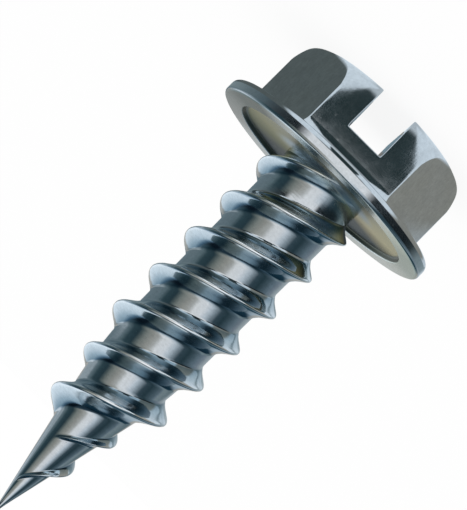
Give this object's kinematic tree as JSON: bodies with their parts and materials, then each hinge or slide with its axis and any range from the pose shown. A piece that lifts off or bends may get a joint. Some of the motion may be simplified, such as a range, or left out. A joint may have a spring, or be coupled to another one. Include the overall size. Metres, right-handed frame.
{
  "type": "self-tapping screw",
  "caption": "Zinc-plated self-tapping screw with a slotted hex washer head, a coarse thread and a gimlet point.",
  "frame": {"origin": "centre of the flat top of the head, which the screw stands on", "axes": "+Z along the shank toward the point; +Y along the driver slot; two hex faces look along -Y and +Y"},
  "size_m": [0.0113, 0.0112, 0.0231],
  "materials": {
    "zinc_plated_steel": "bright clear zinc plating on rolled and cold-headed steel, smooth with faint tool marks"
  },
  "bodies": {
    "root": {"screw": "zinc_plated_steel"}
  },
  "joints": []
}
